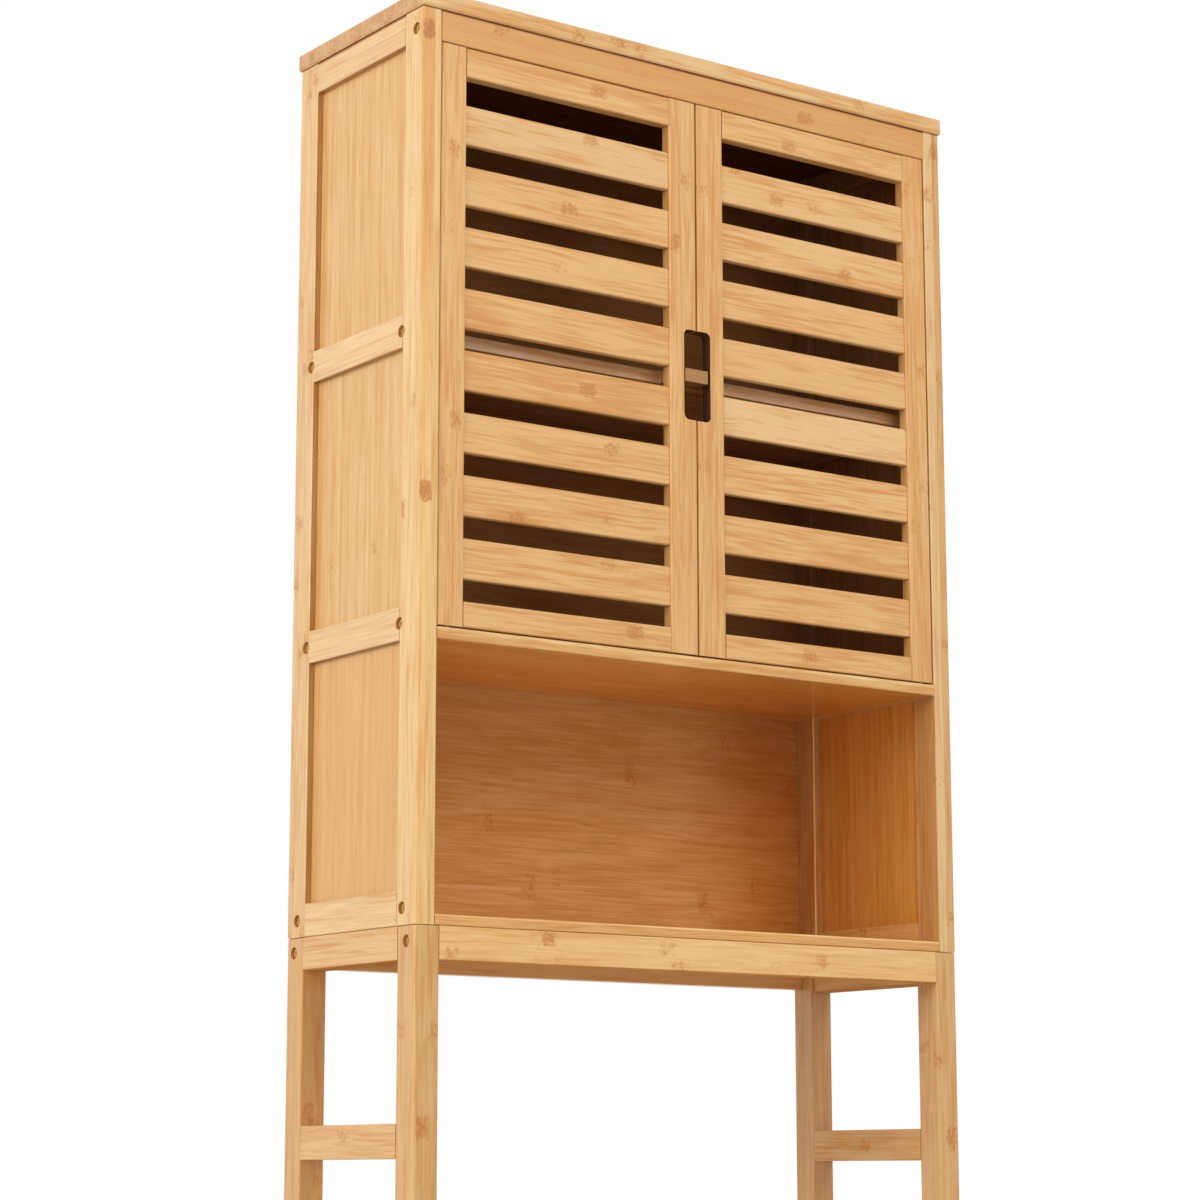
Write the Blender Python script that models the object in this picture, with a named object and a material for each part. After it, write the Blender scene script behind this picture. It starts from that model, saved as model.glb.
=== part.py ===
"""A free-standing bamboo cabinet that stands over a toilet.

A ladder-framed base on four tall legs carries an upper unit of two framed sides, three boards,
a back sheet and a top. Two louvred doors turn on pivots at their outer stiles.

Metres, with X to the right, Y to the back and Z up. The origin is on the floor, under the middle
of the cabinet. Heights that start with "from the seam" are measured from where the upper unit
stands on the base.
"""

import math

import bmesh
import bpy
from mathutils import Matrix, Vector

# Overall
carcass_width = 0.620
carcass_depth = 0.216
base_height = 0.800
upper_height = 0.8285  # from the seam to the underside of the top board
fit = 0.0003  # between pieces that touch
frame_chamfer = 0.0007  # along the edges of the side frames' sticks and of the rail over the doors
door_chamfer = 0.001  # along the edges of the doors' sticks

# Top board
top_thickness = 0.0165
top_overhang = 0.0025
top_chamfer = 0.0015

# Upper side frames
stile_width = 0.020
stile_depth = 0.030
rail_height = 0.030
top_rail_height = 0.029  # of the side frames' top rails and the rail over the doors
lower_rail_bottom = 0.2505  # from the seam
upper_rail_bottom = 0.516  # from the seam
panel_thickness = 0.004
panel_recess = 0.0065
panel_tongue = 0.005
tenon_length = 0.012
tenon_thickness = 0.008
tenon_shoulder = 0.007

# Rail over the doors, and the back sheet
front_rail_depth = 0.022
front_tenon_length = 0.009
back_thickness = 0.004
back_rebate = 0.008

# Boards
middle_shelf_thickness = 0.0125
middle_shelf_drop = 0.001  # its middle, below the middle of the side rail that holds it
middle_shelf_setback = 0.026
floor_thickness = 0.0105
bottom_shelf_thickness = 0.0095
board_tongue = 0.005
board_tongue_thickness = 0.005
board_tongue_inset = 0.010
board_chamfer = 0.0008
sheet_chamfer = 0.0004  # round the thin panels and the back sheet

# Doors
door_thickness = 0.012
door_recess = 0.001
door_side_gap = 0.0012
door_top_gap = 0.0008
door_bottom_gap = 0.0018
door_meeting_gap = 0.0016
hinge_stile_width = 0.0268
meeting_stile_width = 0.0312
door_top_rail_height = 0.0276
door_bottom_rail_height = 0.0232
door_tenon_length = 0.008
door_tenon_thickness = 0.005
door_tenon_shoulder = 0.005

# Slats
slat_count = 8
slat_height = 0.0368
slat_thickness = 0.008
slat_recess = 0.002
slat_tongue = 0.006
first_slat_gap = 0.0264

# Finger hole that the two doors share, with the middle shelf's tab in it
finger_hole_width = 0.031
finger_hole_height = 0.087
finger_hole_corner = 0.0055
tab_side_gap = 0.0020
tab_setback = 0.001  # behind the doors' front
door_stop_width = 0.052  # of the wider part of the tab, behind both meeting stiles

# Door pivots: a steel pin above, a round tenon on the stile below
pivot_from_edge = 0.0123
pivot_from_front = 0.005
pin_radius = 0.002
pin_in_door = 0.015
pintle_radius = 0.0025
pintle_in_floor = 0.0075

# Base
leg_width = 0.025
leg_depth = 0.028
leg_rounding = 0.0025  # of the corner that shows from both sides
leg_edge_rounding = 0.0012  # of the other three, and more than the end chamfer
leg_end_chamfer = 0.001
base_rail_height = 0.030
base_rear_rail_height = 0.027
base_side_rail_thickness = 0.022
base_cross_rail_thickness = 0.013
base_tenon_length = 0.009
stretcher_height = 0.030
stretcher_centre_drop = 0.183  # from the seam down
base_edge_rounding = 0.001

# Locating pegs on the legs' tops
peg_radius = 0.004
peg_height = 0.010
peg_from_face = 0.0125

# Bolt counterbores in the sides: the radius and depth, then how far each lies from the front or
# the rear face
bolt_radius = 0.0055
bolt_depth = 0.004
top_bolt_inset = 0.0116
upper_bolt_insets = (0.032, 0.0265)
lower_bolt_insets = (0.0305, 0.025)
bottom_bolt_insets = (0.0216, 0.017)
base_bolt_insets = (0.0137, 0.0123)
top_bolt_drop = 0.0185
base_bolt_drop = 0.0135

# Faceting of round shapes
bore_sides = 20
corner_steps = 4
leg_rounding_steps = 3
base_rounding_steps = 2
smooth_below = math.radians(32)  # rounded faces that meet at less than this are shaded smooth
reach = 0.003  # how far a joined shape starts inside its body, or a cutter stands clear of one

# Finishes: colour, roughness and metallic value
bamboo_light = ((0.80, 0.58, 0.32), 0.42, 0.0)
bamboo_warm = ((0.72, 0.46, 0.22), 0.44, 0.0)
bamboo_panel = ((0.76, 0.52, 0.27), 0.48, 0.0)
bamboo_base = ((0.74, 0.50, 0.28), 0.42, 0.0)
zinc_plated = ((0.60, 0.60, 0.58), 0.35, 1.0)

# What follows from the sizes above
half_width = carcass_width / 2
half_depth = carcass_depth / 2
seam = base_height
inner_x = half_width - stile_width
inner_y = half_depth - stile_depth
tenon_inner = (stile_width - tenon_thickness) / 2
panel_outer_x = half_width - panel_recess
door_front = -half_depth + door_recess
door_back = door_front + door_thickness
back_front = half_depth - back_thickness
floor_bottom = seam + lower_rail_bottom
floor_top = floor_bottom + floor_thickness
shelf_middle = seam + upper_rail_bottom + rail_height / 2 - middle_shelf_drop
front_rail_top = seam + upper_height - fit
front_rail_bottom = front_rail_top - top_rail_height
door_bottom = floor_top + door_bottom_gap
door_top = front_rail_bottom - door_top_gap
door_outer_x = inner_x - door_side_gap
pivot_x = door_outer_x - pivot_from_edge
pivot_y = door_front + pivot_from_front


def clear_scene():
    for obj in list(bpy.data.objects):
        bpy.data.objects.remove(obj, do_unlink=True)


def grown(box, gap=fit):
    return tuple((low - gap, high + gap) for low, high in box)


def mirrored(box, side, end=1):
    """The same box on side -1 or 1 of the cabinet, at its front (-1) or rear (1)."""
    x, y, z = box
    return tuple(sorted(v * side for v in x)), tuple(sorted(v * end for v in y)), z


def middle_of(box):
    return Vector([(low + high) / 2 for low, high in box])


def add_box(shape, box):
    size = [high - low for low, high in box]
    place = Matrix.Translation(middle_of(box)) @ Matrix.Diagonal((*size, 1))
    bmesh.ops.create_cube(shape, size=1, matrix=place)


def add_rod(shape, start, end, radius):
    """A round rod between two points, closed at both ends."""
    run = Vector(end) - Vector(start)
    turn = run.to_track_quat("Z", "Y").to_matrix().to_4x4()
    place = Matrix.Translation((Vector(start) + Vector(end)) / 2) @ turn
    bmesh.ops.create_cone(
        shape,
        cap_ends=True,
        segments=bore_sides,
        radius1=radius,
        radius2=radius,
        depth=run.length,
        matrix=place,
    )


def add_rounded_plate(shape, box, radius):
    """A box whose four edges along Y are rounded."""
    (x0, x1), (y0, y1), (z0, z1) = box
    rim = []
    corners = ((x1, z1, 1, 1, 0), (x0, z1, -1, 1, 90), (x0, z0, -1, -1, 180), (x1, z0, 1, -1, 270))
    for x, z, across, up, first in corners:
        for step in range(corner_steps + 1):
            angle = math.radians(first + 90 * step / corner_steps)
            centre_x = x - across * radius
            centre_z = z - up * radius
            rim.append((centre_x + radius * math.cos(angle), centre_z + radius * math.sin(angle)))
    front = [shape.verts.new((x, y0, z)) for x, z in rim]
    rear = [shape.verts.new((x, y1, z)) for x, z in rim]
    shape.faces.new(front)
    shape.faces.new(list(reversed(rear)))
    for here, there in zip(range(len(rim)), [*range(1, len(rim)), 0]):
        shape.faces.new((front[there], front[here], rear[here], rear[there]))
    bmesh.ops.recalc_face_normals(shape, faces=shape.faces[:])


def edges_along(shape, axis):
    """A box's edges that run along X, Y or Z (0, 1 or 2)."""
    found = []
    for edge in shape.edges:
        run = edge.verts[1].co - edge.verts[0].co
        if abs(run[axis]) > run.length / 2:
            found.append(edge)
    return found


def bar_shape(box, along, edge, steps=1):
    """A stick whose long edges are eased. With along None every edge is."""
    shape = bmesh.new()
    add_box(shape, box)
    eased = shape.edges[:] if along is None else edges_along(shape, along)
    bmesh.ops.bevel(shape, geom=eased, offset=edge, segments=steps, profile=0.5, affect="EDGES")
    return shape


def object_from(name, shape, parent, origin):
    """An object named name with its origin at a world point, under its parent."""
    mesh = bpy.data.meshes.new(name)
    bmesh.ops.translate(shape, verts=shape.verts[:], vec=-origin)
    shape.to_mesh(mesh)
    shape.free()
    obj = bpy.data.objects.new(name, mesh)
    bpy.context.collection.objects.link(obj)
    obj.parent = parent
    obj.location = origin - parent.location
    return obj


def tool_object(name, solids, parent):
    """A hidden helper made of boxes and rods, for a Boolean."""
    shape = bmesh.new()
    for solid in solids:
        if solid[0] == "rod":
            add_rod(shape, *solid[1:])
        elif solid[0] == "plate":
            add_rounded_plate(shape, *solid[1:])
        else:
            add_box(shape, solid)
    helper = object_from(name, shape, parent, parent.location.copy())
    helper.hide_render = True
    helper.display_type = "WIRE"
    return helper


def finish_object(obj, finish):
    colour, roughness, metallic = finish
    material = bpy.data.materials.new(obj.name + "_finish")
    material.use_nodes = True
    shader = material.node_tree.nodes["Principled BSDF"]
    shader.inputs["Base Color"].default_value = (*colour, 1)
    shader.inputs["Roughness"].default_value = roughness
    shader.inputs["Metallic"].default_value = metallic
    material.diffuse_color = (*colour, 1)
    obj.data.materials.append(material)


def make_piece(name, shape, middle, finish, parent, joined=(), cuts=()):
    """One sub-part. joined are solids that belong to it, and each entry of cuts is a list of
    solids, apart from each other, that are taken out of it."""
    obj = object_from(name, shape, parent, middle)
    finish_object(obj, finish)
    for number, solid in enumerate(joined):
        union = obj.modifiers.new(f"join_{number}", "BOOLEAN")
        union.operation = "UNION"
        union.object = tool_object(f"{name}_join_{number}", [solid], parent)
    for number, solids in enumerate(cuts):
        if solids:
            cut = obj.modifiers.new(f"cut_{number}", "BOOLEAN")
            cut.operation = "DIFFERENCE"
            cut.object = tool_object(f"{name}_cut_{number}", solids, parent)
    return obj


def make_bar(name, box, along, finish, parent, edge=frame_chamfer, joined=(), cuts=()):
    shape = bar_shape(box, along, edge)
    return make_piece(name, shape, middle_of(box), finish, parent, joined, cuts)


def make_empty(name, place):
    empty = bpy.data.objects.new(name, None)
    bpy.context.collection.objects.link(empty)
    empty.empty_display_size = 0.05
    empty.location = place
    return empty


# The upper side frames, described for the right side

rail_names = ("bottom_rail", "lower_rail", "upper_rail", "top_rail")
panel_names = ("lower_panel", "middle_panel", "upper_panel")


def rail_spans():
    """The heights of the four rails' lower and upper edges, lowest rail first."""
    bottoms = (seam + fit, seam + lower_rail_bottom, seam + upper_rail_bottom)
    lower_three = [(bottom, bottom + rail_height) for bottom in bottoms]
    return [*lower_three, (front_rail_bottom, front_rail_top)]


def stile_box(side, end):
    box = (
        (inner_x, half_width),
        (inner_y, half_depth),
        (seam + fit, seam + upper_height - fit),
    )
    return mirrored(box, side, end)


def rail_box(span, side):
    box = ((inner_x, half_width), (-inner_y + fit, inner_y - fit), span)
    return mirrored(box, side)


def rail_tenon(span, side, end):
    box = (
        (inner_x + tenon_inner, half_width - tenon_inner),
        (inner_y - reach, inner_y + tenon_length),
        (span[0] + tenon_shoulder, span[1] - tenon_shoulder),
    )
    return mirrored(box, side, end)


def panel_box(bay, side):
    spans = rail_spans()
    box = (
        (panel_outer_x - panel_thickness, panel_outer_x),
        (-inner_y - panel_tongue + fit, inner_y + panel_tongue - fit),
        (spans[bay][1] - panel_tongue + fit, spans[bay + 1][0] + panel_tongue - fit),
    )
    return mirrored(box, side)


def side_bolts():
    """(y, z) of each bolt in an upper side frame."""
    places = [(-half_depth + top_bolt_inset, seam + upper_height - top_bolt_drop)]
    rows = zip(rail_spans(), (bottom_bolt_insets, lower_bolt_insets, upper_bolt_insets))
    for (bottom, top), (front_inset, rear_inset) in rows:
        places.append((-half_depth + front_inset, (bottom + top) / 2))
        places.append((half_depth - rear_inset, (bottom + top) / 2))
    return places


def base_bolts():
    front_inset, rear_inset = base_bolt_insets
    height = seam - base_bolt_drop
    return [(-half_depth + front_inset, height), (half_depth - rear_inset, height)]


def counterbores(box, side, places):
    """The bolts' counterbores that reach a piece, seen from the side."""
    (_, _), (front, rear), (bottom, top) = box
    face = side * half_width
    found = []
    for y, z in places:
        beside = front - bolt_radius < y < rear + bolt_radius
        level = bottom - bolt_radius < z < top + bolt_radius
        if beside and level:
            start = (face - side * bolt_depth, y, z)
            found.append(("rod", start, (face + side * reach, y, z), bolt_radius))
    return found


def peg(side, end, gap=0.0):
    """The locating peg on a leg, from inside the leg up into the stile."""
    x = side * (half_width - stile_width / 2)
    y = end * (half_depth - peg_from_face)
    return ("rod", (x, y, seam - reach), (x, y, seam + peg_height + gap), peg_radius + gap)


def back_rebate_box(side):
    box = (
        (inner_x - reach, inner_x + back_rebate + fit),
        (back_front - fit, half_depth + reach),
        (seam - reach, seam + upper_height + reach),
    )
    return mirrored(box, side)


def front_rail_tenon(side):
    middle = -half_depth + front_rail_depth / 2
    box = (
        (inner_x - reach, inner_x + front_tenon_length),
        (middle - tenon_thickness / 2, middle + tenon_thickness / 2),
        (front_rail_bottom + tenon_shoulder, front_rail_top - tenon_shoulder),
    )
    return mirrored(box, side)


def make_stile(name, side, end, parent):
    box = stile_box(side, end)
    mortises = [grown(rail_tenon(span, side, end)) for span in rail_spans()]
    grooves = [grown(panel_box(bay, side)) for bay in range(3)]
    others = [peg(side, end, fit)]
    if end < 0:
        others.append(grown(front_rail_tenon(side)))
    cuts = [mortises, grooves, others, counterbores(box, side, side_bolts())]
    if end > 0:
        cuts.append([back_rebate_box(side)])
    make_bar(name, box, 2, bamboo_light, parent, cuts=cuts)


def make_side_rail(name, row, side, parent):
    span = rail_spans()[row]
    box = rail_box(span, side)
    tenons = [rail_tenon(span, side, end) for end in (-1, 1)]
    grooves = [grown(panel_box(bay, side)) for bay in (row - 1, row) if 0 <= bay < 3]
    housings = [grown(tongue) for tongue in board_tongues(side) if reaches(tongue, box)]
    cuts = [grooves, housings, counterbores(box, side, side_bolts())]
    make_bar(name, box, 1, bamboo_light, parent, joined=tenons, cuts=cuts)


def reaches(box, other):
    """Whether a box meets the other's height."""
    return box[2][0] < other[2][1] and box[2][1] > other[2][0]


def make_side_frame(side_name, side, parent):
    for end_name, end in (("front", -1), ("rear", 1)):
        make_stile(f"{side_name}_{end_name}_stile", side, end, parent)
    for row, rail_name in enumerate(rail_names):
        make_side_rail(f"{side_name}_{rail_name}", row, side, parent)
    for bay, panel_name in enumerate(panel_names):
        box = panel_box(bay, side)
        name = f"{side_name}_{panel_name}"
        make_bar(name, box, None, bamboo_panel, parent, edge=sheet_chamfer)


# The boards, the rail over the doors, the back sheet and the top

bottom_shelf_span = (seam + fit, seam + fit + bottom_shelf_thickness)
floor_span = (floor_bottom, floor_top)
middle_shelf_span = (
    shelf_middle - middle_shelf_thickness / 2,
    shelf_middle + middle_shelf_thickness / 2,
)


def board_tongue_box(span, side):
    """The tongue on a board's end, level with its top, that sits in the side rail's housing."""
    box = (
        (inner_x - reach, inner_x + board_tongue),
        (-inner_y + board_tongue_inset, inner_y - board_tongue_inset),
        (span[1] - board_tongue_thickness, span[1]),
    )
    return mirrored(box, side)


def board_tongues(side):
    return [board_tongue_box(s, side) for s in (bottom_shelf_span, floor_span, middle_shelf_span)]


def stepped_tab():
    """The middle shelf's tab: a wide part that the doors close against, and a narrow part that
    fills the middle of the finger hole."""
    shelf_front = -half_depth + middle_shelf_setback
    stop_front = door_back + fit
    stop_half = door_stop_width / 2
    stop = ((-stop_half, stop_half), (stop_front, shelf_front + reach), middle_shelf_span)
    tab_half = finger_hole_width / 2 - tab_side_gap
    tab = ((-tab_half, tab_half), (door_front + tab_setback, stop_front + reach), middle_shelf_span)
    return [stop, tab]


def make_board(name, span, front, parent, joined=(), cuts=()):
    box = ((-inner_x + fit, inner_x - fit), (front, back_front - fit), span)
    tongues = [board_tongue_box(span, side) for side in (-1, 1)]
    joined = [*tongues, *joined]
    make_bar(name, box, 0, bamboo_warm, parent, edge=board_chamfer, joined=joined, cuts=cuts)


def make_boards(parent):
    make_board("bottom_shelf", bottom_shelf_span, -half_depth, parent)
    make_board("cabinet_floor", floor_span, -half_depth, parent, cuts=[pintle_sockets()])
    front = -half_depth + middle_shelf_setback
    make_board("middle_shelf", middle_shelf_span, front, parent, joined=stepped_tab())


def make_front_top_rail(parent):
    box = (
        (-inner_x + fit, inner_x - fit),
        (-half_depth, -half_depth + front_rail_depth),
        (front_rail_bottom, front_rail_top),
    )
    tenons = [front_rail_tenon(side) for side in (-1, 1)]
    bores = [pin_rod(side, fit, through=True) for side in (-1, 1)]
    make_bar("front_top_rail", box, 0, bamboo_light, parent, joined=tenons, cuts=[bores])


def make_back_panel(parent):
    half = inner_x + back_rebate
    box = (
        (-half, half),
        (back_front, half_depth),
        (seam + fit, seam + upper_height - fit),
    )
    make_bar("back_panel", box, None, bamboo_panel, parent, edge=sheet_chamfer)


def make_top_board(parent):
    box = (
        (-half_width - top_overhang, half_width + top_overhang),
        (-half_depth - top_overhang, half_depth + top_overhang),
        (seam + upper_height, seam + upper_height + top_thickness),
    )
    make_bar("top_board", box, None, bamboo_light, parent, edge=top_chamfer)


# The doors, described for the right one, and their pivots


def pin_rod(side, gap=0.0, through=False):
    """The steel pin, from inside the door's stile to the top of the rail over it."""
    top = front_rail_top + (reach if through else 0)
    place = (side * pivot_x, pivot_y)
    return ("rod", (*place, door_top - pin_in_door - gap), (*place, top), pin_radius + gap)


def pintle_sockets():
    sockets = []
    for side in (-1, 1):
        place = (side * pivot_x, pivot_y)
        bottom = floor_top - pintle_in_floor - fit
        sockets.append(("rod", (*place, bottom), (*place, floor_top + reach), pintle_radius + fit))
    return sockets


def pintle(side):
    place = (side * pivot_x, pivot_y)
    bottom = floor_top - pintle_in_floor
    return ("rod", (*place, bottom), (*place, door_bottom + reach), pintle_radius)


def door_rail_box(upper, side):
    if upper:
        heights = (door_top - door_top_rail_height, door_top)
    else:
        heights = (door_bottom, door_bottom + door_bottom_rail_height)
    box = (
        (door_meeting_gap / 2 + meeting_stile_width + fit, door_outer_x - hinge_stile_width - fit),
        (door_front, door_back),
        heights,
    )
    return mirrored(box, side)


def door_tenon(upper, side, outer):
    """A door rail's tenon, in the hinge stile (outer) or the meeting stile."""
    (x0, x1), _, (z0, z1) = door_rail_box(upper, 1)
    across = (x1 - reach, x1 + door_tenon_length) if outer else (x0 - door_tenon_length, x0 + reach)
    middle = (door_front + door_back) / 2
    box = (
        across,
        (middle - door_tenon_thickness / 2, middle + door_tenon_thickness / 2),
        (z0 + door_tenon_shoulder, z1 - door_tenon_shoulder),
    )
    return mirrored(box, side)


def slat_box(number, side):
    """Slat 1 is the highest. The gaps below it are even down to the bottom rail."""
    clear_top = door_top - door_top_rail_height
    clear_bottom = door_bottom + door_bottom_rail_height
    spare = clear_top - clear_bottom - first_slat_gap - slat_count * slat_height
    pitch = slat_height + spare / slat_count
    top = clear_top - first_slat_gap - (number - 1) * pitch
    box = (
        (
            door_meeting_gap / 2 + meeting_stile_width - slat_tongue,
            door_outer_x - hinge_stile_width + slat_tongue,
        ),
        (door_front + slat_recess, door_front + slat_recess + slat_thickness),
        (top - slat_height, top),
    )
    return mirrored(box, side)


def door_mortises(side, outer):
    rails = [grown(door_tenon(upper, side, outer)) for upper in (True, False)]
    slats = [grown(slat_box(number, side)) for number in range(1, slat_count + 1)]
    return [*rails, *slats]


def finger_hole():
    half = finger_hole_width / 2
    box = (
        (-half, half),
        (door_front - reach, door_back + reach),
        (shelf_middle - finger_hole_height / 2, shelf_middle + finger_hole_height / 2),
    )
    return ("plate", box, finger_hole_corner)


def make_door(side_name, side, cabinet):
    turn = make_empty(f"{side_name}_door_pivot", (side * pivot_x, pivot_y, 0))
    turn.parent = cabinet
    name = f"{side_name}_door"
    outer_box = (
        (door_outer_x - hinge_stile_width, door_outer_x),
        (door_front, door_back),
        (door_bottom, door_top),
    )
    make_bar(
        f"{name}_hinge_stile",
        mirrored(outer_box, side),
        2,
        bamboo_light,
        turn,
        edge=door_chamfer,
        joined=[pintle(side)],
        cuts=[door_mortises(side, True), [pin_rod(side, fit, through=True)]],
    )
    inner_box = (
        (door_meeting_gap / 2, door_meeting_gap / 2 + meeting_stile_width),
        (door_front, door_back),
        (door_bottom, door_top),
    )
    make_bar(
        f"{name}_meeting_stile",
        mirrored(inner_box, side),
        2,
        bamboo_light,
        turn,
        edge=door_chamfer,
        cuts=[door_mortises(side, False), [finger_hole()]],
    )
    for rail_name, upper in (("top_rail", True), ("bottom_rail", False)):
        tenons = [door_tenon(upper, side, outer) for outer in (True, False)]
        box = door_rail_box(upper, side)
        rail = f"{name}_{rail_name}"
        make_bar(rail, box, 0, bamboo_light, turn, edge=door_chamfer, joined=tenons)
    for number in range(1, slat_count + 1):
        slat = f"{name}_slat_{number}"
        make_bar(slat, slat_box(number, side), 0, bamboo_warm, turn, edge=door_chamfer)


def make_pivot_pin(side_name, side, parent):
    _, start, end, radius = pin_rod(side)
    shape = bmesh.new()
    add_rod(shape, start, end, radius)
    middle = (Vector(start) + Vector(end)) / 2
    pin = make_piece(f"{side_name}_pivot_pin", shape, middle, zinc_plated, parent)
    pin.data.shade_smooth()
    pin.data.set_sharp_from_angle(angle=smooth_below)


# The base


def leg_box(side, end):
    box = ((half_width - leg_width, half_width), (half_depth - leg_depth, half_depth), (0, seam))
    return mirrored(box, side, end)


def side_bar_box(bottom, height, thickness, side):
    """A bar of the base's side frame, flush with the legs' outer faces."""
    run = half_depth - leg_depth - fit
    box = ((half_width - thickness, half_width), (-run, run), (bottom, bottom + height))
    return mirrored(box, side)


def base_side_rail_box(side):
    bottom = seam - base_rail_height
    return side_bar_box(bottom, base_rail_height, base_side_rail_thickness, side)


def stretcher_box(side):
    """As thick as the legs are wide."""
    bottom = seam - stretcher_centre_drop - stretcher_height / 2
    return side_bar_box(bottom, stretcher_height, leg_width, side)


def cross_bar_box(height, end):
    """The base's front or rear rail, flush with the legs' faces and tops."""
    run = half_width - leg_width - fit
    inner = half_depth - base_cross_rail_thickness
    box = ((-run, run), (inner, half_depth), (seam - height, seam))
    return mirrored(box, 1, end)


def side_bar_tenon(box, end):
    (x0, x1), (_, run), (z0, z1) = box
    middle = (x0 + x1) / 2
    tenon = (
        (middle - tenon_thickness / 2, middle + tenon_thickness / 2),
        (run - reach, run + base_tenon_length),
        (z0 + tenon_shoulder, z1 - tenon_shoulder),
    )
    return mirrored(tenon, 1, end)


def cross_bar_tenon(box, side):
    (_, run), (y0, y1), (z0, z1) = box
    middle = (y0 + y1) / 2
    tenon = (
        (run - reach, run + base_tenon_length),
        (middle - tenon_thickness / 2, middle + tenon_thickness / 2),
        (z0 + tenon_shoulder, z1 - tenon_shoulder),
    )
    return mirrored(tenon, side)


def leg_shape(box, side, end):
    """A leg whose outer corner is rounded more than its other edges."""
    shape = bmesh.new()
    add_box(shape, box)
    middle = middle_of(box)
    outer, others = [], []
    for edge in edges_along(shape, 2):
        away = edge.verts[0].co - middle
        (outer if away.x * side > 0 and away.y * end > 0 else others).append(edge)
    roundings = (
        (outer, leg_rounding, leg_rounding_steps),
        (others, leg_edge_rounding, base_rounding_steps),
    )
    for edges, offset, steps in roundings:
        bmesh.ops.bevel(
            shape, geom=edges, offset=offset, segments=steps, profile=0.5, affect="EDGES"
        )
    return shape


def make_leg(name, side, end, parent):
    box = leg_box(side, end)
    shape = leg_shape(box, side, end)
    rims = [edge for edge in shape.edges if len({round(v.co.z, 5) for v in edge.verts}) == 1]
    bmesh.ops.bevel(shape, geom=rims, offset=leg_end_chamfer, segments=1, affect="EDGES")
    rail = base_side_rail_box(side)
    cross = cross_bar_box(base_rear_rail_height if end > 0 else base_rail_height, end)
    mortises = [
        grown(side_bar_tenon(rail, end)),
        grown(side_bar_tenon(stretcher_box(side), end)),
        grown(cross_bar_tenon(cross, side)),
    ]
    cuts = [mortises, counterbores(box, side, base_bolts())]
    middle = middle_of(box)
    leg = make_piece(name, shape, middle, bamboo_base, parent, [peg(side, end)], cuts)
    leg.data.shade_smooth()
    leg.data.set_sharp_from_angle(angle=smooth_below)


def make_base_bar(name, box, along, tenons, parent):
    shape = bar_shape(box, along, base_edge_rounding, base_rounding_steps)
    make_piece(name, shape, middle_of(box), bamboo_base, parent, joined=tenons)


def make_base(parent):
    for side_name, side in (("left", -1), ("right", 1)):
        for end_name, end in (("front", -1), ("rear", 1)):
            make_leg(f"{side_name}_{end_name}_leg", side, end, parent)
        bars = (
            (f"base_{side_name}_rail", base_side_rail_box(side)),
            (f"{side_name}_stretcher", stretcher_box(side)),
        )
        for name, box in bars:
            tenons = [side_bar_tenon(box, end) for end in (-1, 1)]
            make_base_bar(name, box, 1, tenons, parent)
    rows = (("front", base_rail_height, -1), ("rear", base_rear_rail_height, 1))
    for end_name, height, end in rows:
        box = cross_bar_box(height, end)
        tenons = [cross_bar_tenon(box, side) for side in (-1, 1)]
        make_base_bar(f"base_{end_name}_rail", box, 0, tenons, parent)


def make_cabinet():
    clear_scene()
    cabinet = make_empty("cabinet", (0, 0, 0))
    make_base(cabinet)
    make_boards(cabinet)
    make_front_top_rail(cabinet)
    make_back_panel(cabinet)
    make_top_board(cabinet)
    for side_name, side in (("left", -1), ("right", 1)):
        make_side_frame(side_name, side, cabinet)
        make_pivot_pin(side_name, side, cabinet)
        make_door(side_name, side, cabinet)


make_cabinet()
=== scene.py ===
import math
import random

import bmesh
import bpy
from mathutils import Euler, Matrix, Vector


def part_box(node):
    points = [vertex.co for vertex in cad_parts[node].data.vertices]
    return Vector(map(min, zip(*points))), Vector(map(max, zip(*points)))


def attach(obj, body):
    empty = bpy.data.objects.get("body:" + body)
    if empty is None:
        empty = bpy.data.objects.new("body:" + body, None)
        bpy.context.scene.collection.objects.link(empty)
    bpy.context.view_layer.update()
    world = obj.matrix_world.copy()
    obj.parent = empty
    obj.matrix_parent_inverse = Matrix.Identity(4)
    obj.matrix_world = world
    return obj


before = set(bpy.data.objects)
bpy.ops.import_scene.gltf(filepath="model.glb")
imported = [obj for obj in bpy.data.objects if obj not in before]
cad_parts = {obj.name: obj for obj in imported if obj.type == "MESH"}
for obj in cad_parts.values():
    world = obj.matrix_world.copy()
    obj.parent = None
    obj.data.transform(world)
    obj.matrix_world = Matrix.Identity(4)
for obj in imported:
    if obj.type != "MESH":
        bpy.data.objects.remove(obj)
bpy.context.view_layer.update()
print("frame loaded,", len(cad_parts), "nodes")

# the cabinet is seen from low down at its left, with most of its legs out of the picture
view = {
    "place": (-1.74823, -2.37244, 0.58905),
    "turn": 35.812,  # degrees to the right of straight ahead
    "lift": 10.422,  # degrees above level
    "roll": -0.063,
    "lens": 93.70,  # millimetres
    "sensor": 36,
}


def addCamera():
    lens = bpy.data.cameras.new("view")
    lens.lens = view["lens"]
    lens.sensor_width = view["sensor"]
    camera = bpy.data.objects.new("view", lens)
    bpy.context.collection.objects.link(camera)
    aim = Matrix.Rotation(-math.radians(view["turn"]), 4, "Z")
    aim = aim @ Matrix.Rotation(math.radians(90 + view["lift"]), 4, "X")
    aim = aim @ Matrix.Rotation(math.radians(view["roll"]), 4, "Z")
    camera.matrix_world = Matrix.Translation(view["place"]) @ aim
    bpy.context.scene.camera = camera


addCamera()
print("camera set")

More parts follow.
